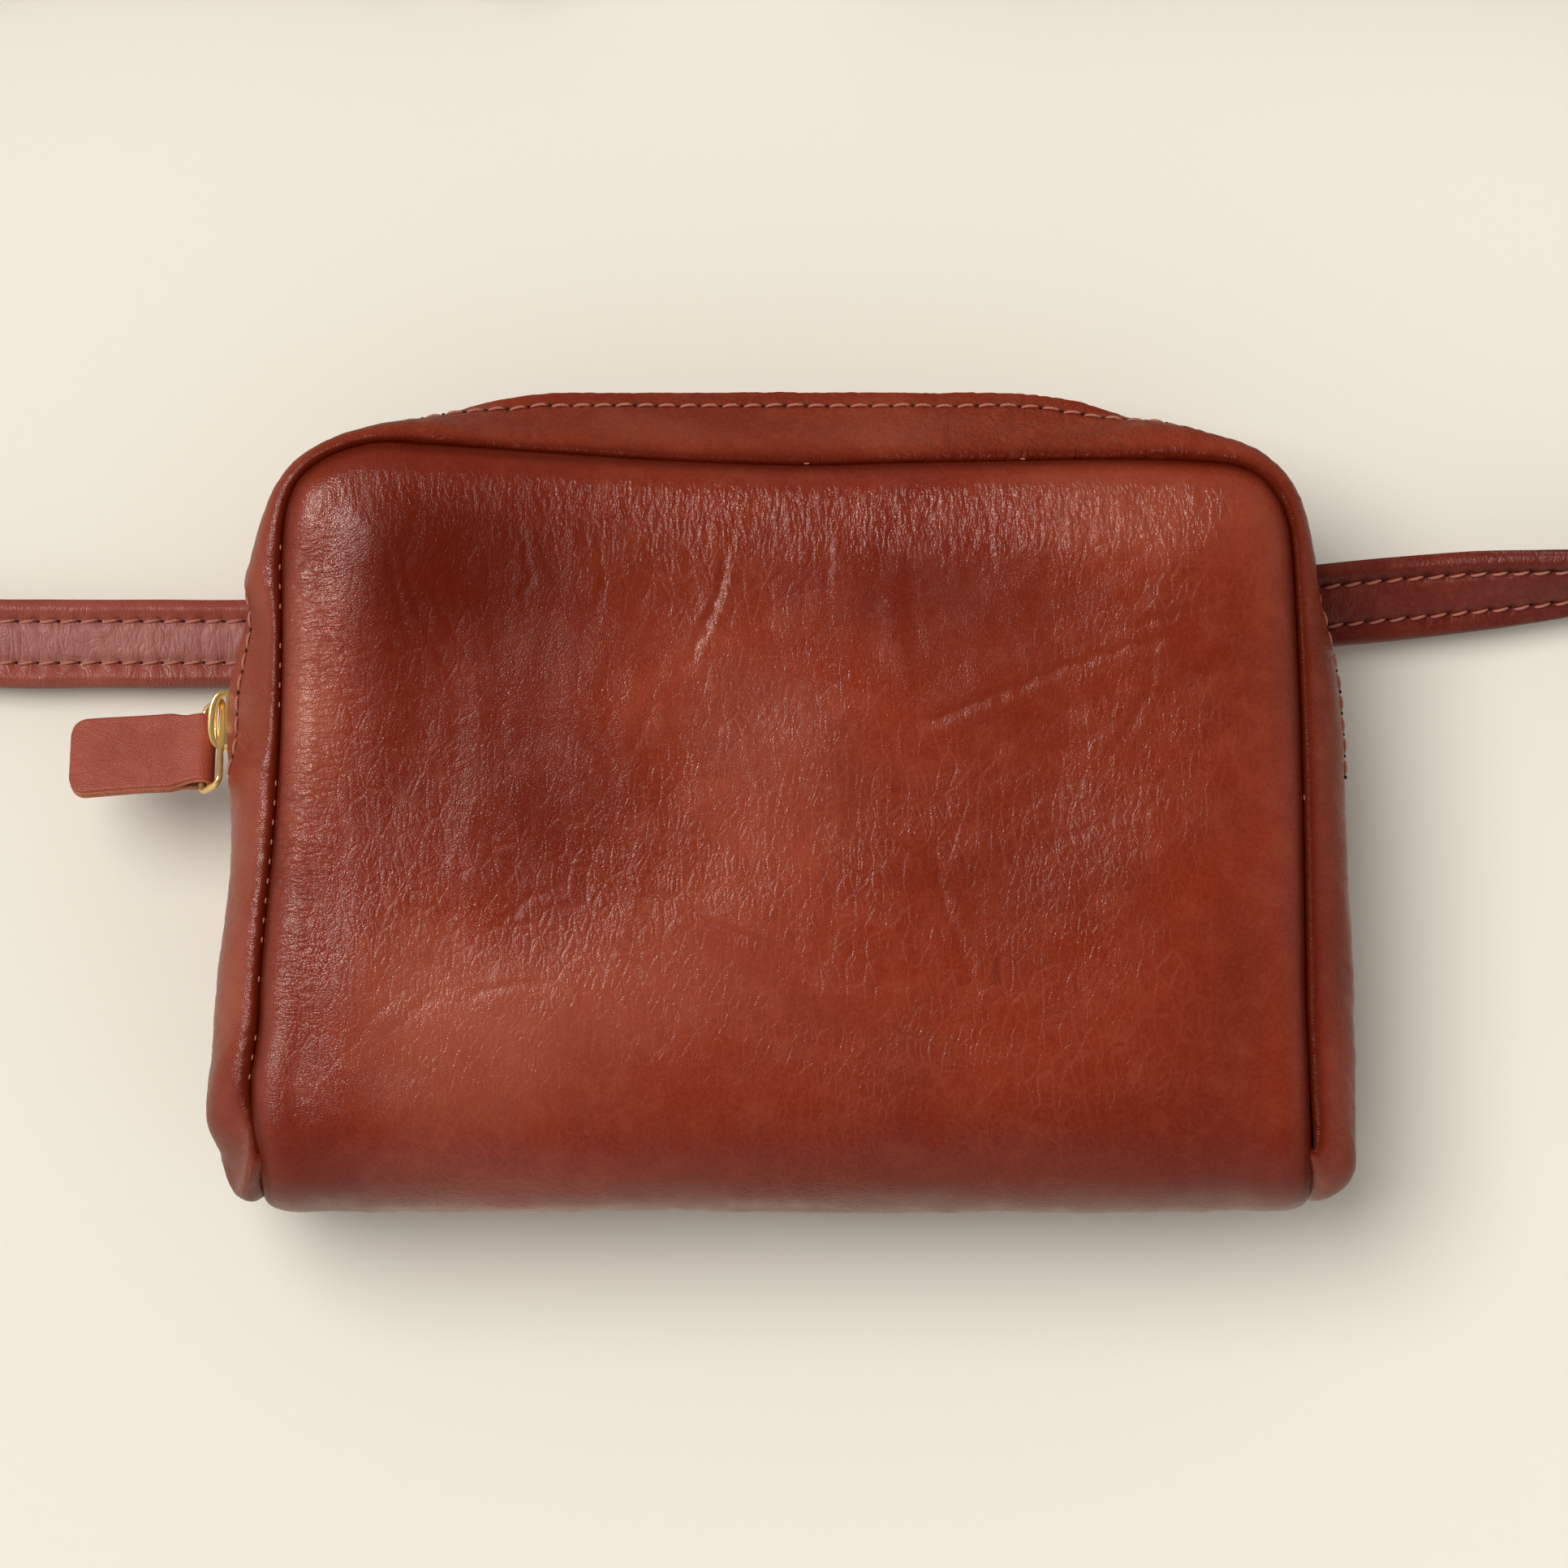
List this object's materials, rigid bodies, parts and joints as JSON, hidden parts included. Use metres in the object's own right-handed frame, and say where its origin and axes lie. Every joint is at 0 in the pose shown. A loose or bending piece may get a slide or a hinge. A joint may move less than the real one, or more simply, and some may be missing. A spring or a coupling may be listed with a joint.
{
  "type": "waist pack",
  "caption": "Leather waist pack lying on its back: wrap body, zipped gusset, slider with ring and leather pull, and a two-part buckled belt unbuckled behind it.",
  "frame": {"origin": "centre of the flat back panel's outer face, which rests on the table", "axes": "+Z out of the front panel, +Y to the top of the pack, +X to the right seen from the front"},
  "size_m": [0.4562, 0.2572, 0.061],
  "materials": {
    "leather": "semi-gloss cognac",
    "strap": "semi-gloss cognac",
    "lining": "woven",
    "tape": "woven tape",
    "core": "stiff webbing",
    "gold": "polished"
  },
  "bodies": {
    "bag": {"body_wrap": "leather", "gusset": "leather", "lining": "lining", "zip_tape_front": "tape", "zip_tape_back": "tape", "zip_teeth_front": "gold", "zip_teeth_back": "gold", "zip_top_stop_front": "gold", "zip_top_stop_back": "gold", "zip_bottom_stop": "gold", "strap_patch_left": "leather", "strap_patch_right": "leather", "strap_left_root": "strap", "strap_left_root_core": "core", "strap_right_root": "strap", "strap_right_root_core": "core"},
    "slider": {"zip_slider_body": "gold", "zip_slider_bridge": "gold"},
    "pull_ring": {"pull_ring": "gold"},
    "pull_tab": {"pull_tab": "strap"},
    "strap_left": {"strap_left": "strap", "strap_left_core": "core", "buckle_chape": "strap", "keeper_fixed": "strap"},
    "strap_right": {"strap_right": "strap", "strap_right_core": "core"},
    "buckle_frame": {"buckle_frame": "gold"},
    "buckle_prong": {"buckle_prong": "gold"},
    "keeper_sliding": {"keeper_sliding": "strap"}
  },
  "joints": [
    {"name": "zip_travel", "type": "hinge", "parent": "bag", "child": "slider", "pos_m": [-0.0405, 0.012, 0.028], "axis": [0, 0, -1], "range_deg": [0, 86]},
    {"name": "ring_swing", "type": "hinge", "parent": "slider", "child": "pull_ring", "pos_m": [-0.10683, 0.01526, 0.028], "axis": [0, 0.8829, -0.4695], "range_deg": [0, 60]},
    {"name": "tab_fold", "type": "hinge", "parent": "pull_ring", "child": "pull_tab", "pos_m": [-0.11056, 0.01318, 0.02408], "axis": [0, 0.8829, -0.4695], "range_deg": [-30, 30]},
    {"name": "left_strap_swing", "type": "hinge", "parent": "bag", "child": "strap_left", "pos_m": [-0.156, 0.0302, 0.006], "axis": [1, 0, 0], "range_deg": [-95, 30]},
    {"name": "right_strap_swing", "type": "hinge", "parent": "bag", "child": "strap_right", "pos_m": [0.156, 0.0421, 0.0107], "axis": [1, 0, 0], "range_deg": [-95, 30]},
    {"name": "buckle_swing", "type": "hinge", "parent": "strap_left", "child": "buckle_frame", "pos_m": [-0.042, 0.171, 0.0113], "axis": [0, 0, 1], "range_deg": [-25, 25]},
    {"name": "prong_swing", "type": "hinge", "parent": "buckle_frame", "child": "buckle_prong", "pos_m": [-0.042, 0.171, 0.0113], "axis": [0, 0, 1], "range_deg": [0, 95]},
    {"name": "keeper_slide", "type": "slide", "parent": "strap_left", "child": "keeper_sliding", "axis": [-1, 0, 0], "range_m": [-0.01, 0.03]}
  ]
}
